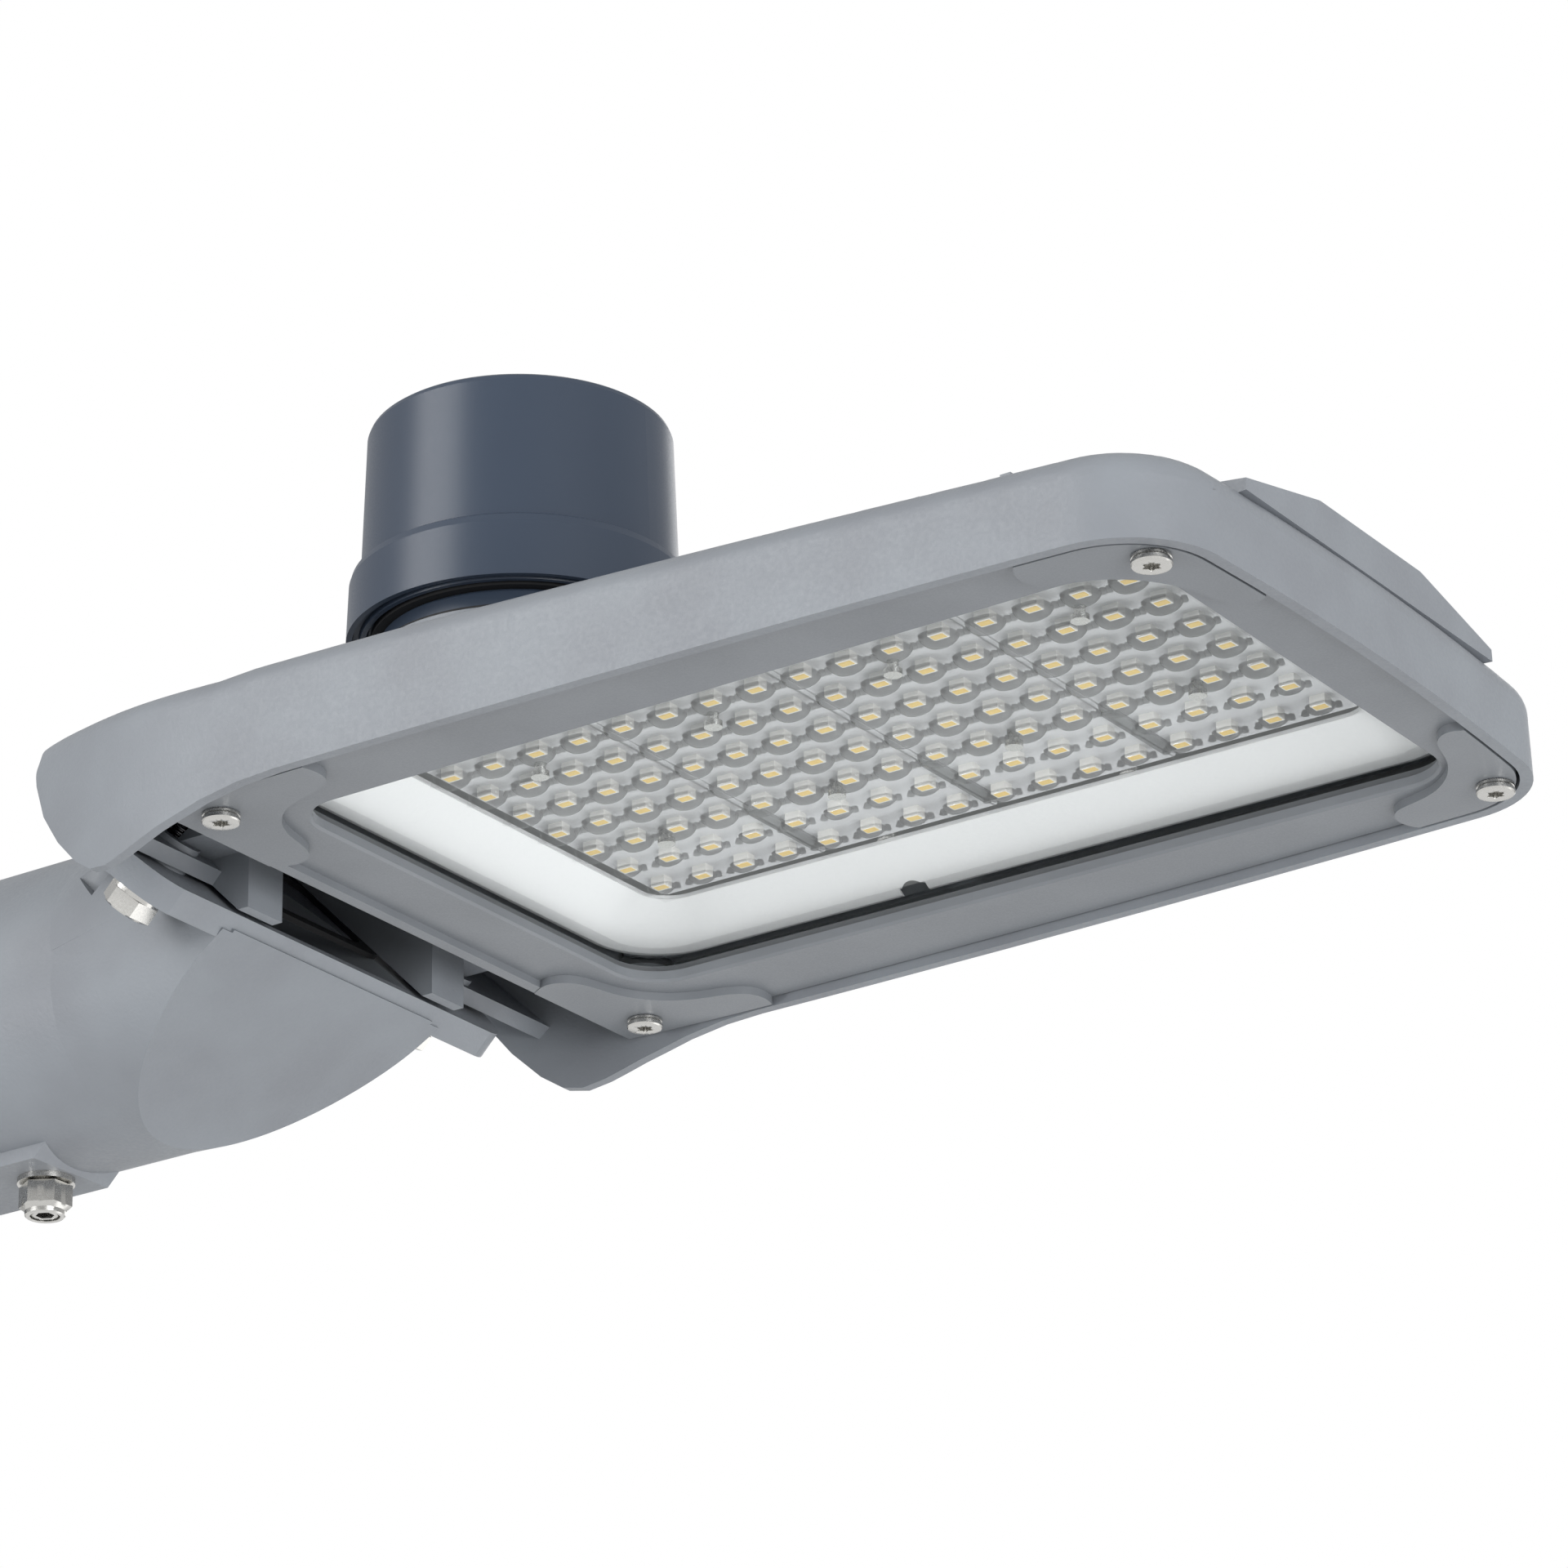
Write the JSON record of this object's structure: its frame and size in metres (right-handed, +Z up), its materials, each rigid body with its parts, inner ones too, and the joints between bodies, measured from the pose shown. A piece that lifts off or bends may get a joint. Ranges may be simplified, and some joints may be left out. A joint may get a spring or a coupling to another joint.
{
  "type": "solar street light",
  "caption": "Street light head with glazed lamp tray, top control node and slanted flange to a slip-over mast adaptor with clamp screws.",
  "frame": {"origin": "centre of the mast bore's mouth, on the bore's axis", "axes": "+X from the mast towards the front of the lamp head, along the bore's axis; +Z up, out of the back of the head; +Y to the head's left seen from the mast"},
  "size_m": [0.4959, 0.2152, 0.1906],
  "materials": {
    "cast_grey": "powder coat, fine texture",
    "frame_grey": "smooth powder coat",
    "black_rubber": "matte",
    "stainless": "satin",
    "clear_glass": "clear toughened glass",
    "grey_silicone": "matte",
    "satin_reflector": "satin silver",
    "white_board": "white solder mask",
    "yellow_chip": "phosphor",
    "lens_plastic": "clear moulded plastic",
    "white_plastic": "matte",
    "aluminium_plate": "mill finish",
    "driver_plastic": "matte",
    "black_plastic": "matte",
    "node_plastic": "satin moulded",
    "contact_brass": "plain"
  },
  "bodies": {
    "head": {"mast_adaptor": "cast_grey", "housing": "cast_grey", "reflector_tray": "satin_reflector", "led_boards": "white_board", "led_packages": "yellow_chip", "lens_plates": "lens_plastic", "lens_screws": "stainless", "board_links": "white_plastic", "carrier_plate": "aluminium_plate", "carrier_screws": "stainless", "driver": "driver_plastic", "driver_screws": "stainless", "terminal_block": "white_plastic", "cable_gland": "black_plastic", "vent_plug": "black_plastic", "socket_gasket": "black_rubber", "flange_gasket": "black_rubber", "flange_bolts": "stainless", "flange_washers": "stainless", "spring_washers": "stainless", "clamp_nuts": "stainless", "clamp_washers": "stainless"},
    "cover": {"bottom_frame": "frame_grey", "frame_gasket": "black_rubber", "frame_screws": "stainless", "cover_glass": "clear_glass", "glass_seal": "grey_silicone"},
    "socket": {"node_socket": "node_plastic"},
    "node_ring": {"node_gasket": "black_rubber"},
    "control_node": {"node_base": "node_plastic", "node_cap": "node_plastic", "node_contacts": "contact_brass"},
    "screw_front": {"clamp_screw_front": "stainless"},
    "screw_rear": {"clamp_screw_rear": "stainless"}
  },
  "joints": [
    {"name": "cover_lift", "type": "slide", "parent": "head", "child": "cover", "axis": [0, 0, -1], "range_m": [0, 0.06]},
    {"name": "receptacle_turn", "type": "hinge", "parent": "head", "child": "socket", "pos_m": [0.235, 0, 0.0663], "axis": [0, 0, 1], "range_deg": [-175, 175]},
    {"name": "node_twist", "type": "hinge", "parent": "socket", "child": "node_ring", "pos_m": [0.235, 0, 0.0663], "axis": [0, 0, 1], "range_deg": [0, 22]},
    {"name": "node_lift", "type": "slide", "parent": "node_ring", "child": "control_node", "axis": [0, 0, 1], "range_m": [0, 0.04]},
    {"name": "clamp_screw_front_travel", "type": "slide", "parent": "head", "child": "screw_front", "axis": [0, 0, 1], "range_m": [-0.004, 0.006]},
    {"name": "clamp_screw_rear_travel", "type": "slide", "parent": "head", "child": "screw_rear", "axis": [0, 0, 1], "range_m": [-0.004, 0.006]}
  ]
}
